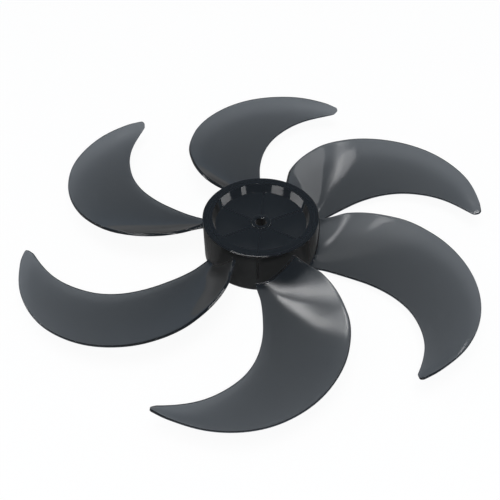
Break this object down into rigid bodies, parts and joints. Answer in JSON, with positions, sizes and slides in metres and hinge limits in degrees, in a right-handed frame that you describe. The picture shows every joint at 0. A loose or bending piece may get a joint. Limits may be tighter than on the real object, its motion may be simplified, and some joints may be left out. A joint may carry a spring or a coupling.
{
  "type": "fan blade",
  "caption": "Moulded fan blade set for a desk or stand fan: twisted sickle blades on a ribbed cup hub with a shaft bore, a drive-pin slot and a front recess for a nut.",
  "frame": {"origin": "on the shaft axis, in the plane of the hub's back edge, which it rests on", "axes": "+Z along the shaft axis towards the front of the hub; -Y towards the side from which the picture is taken"},
  "size_m": [0.3464, 0.3586, 0.0355],
  "materials": {
    "smoke_plastic": "polished translucent smoke grey"
  },
  "bodies": {
    "root": {"fan_blade": "smoke_plastic"}
  },
  "joints": []
}
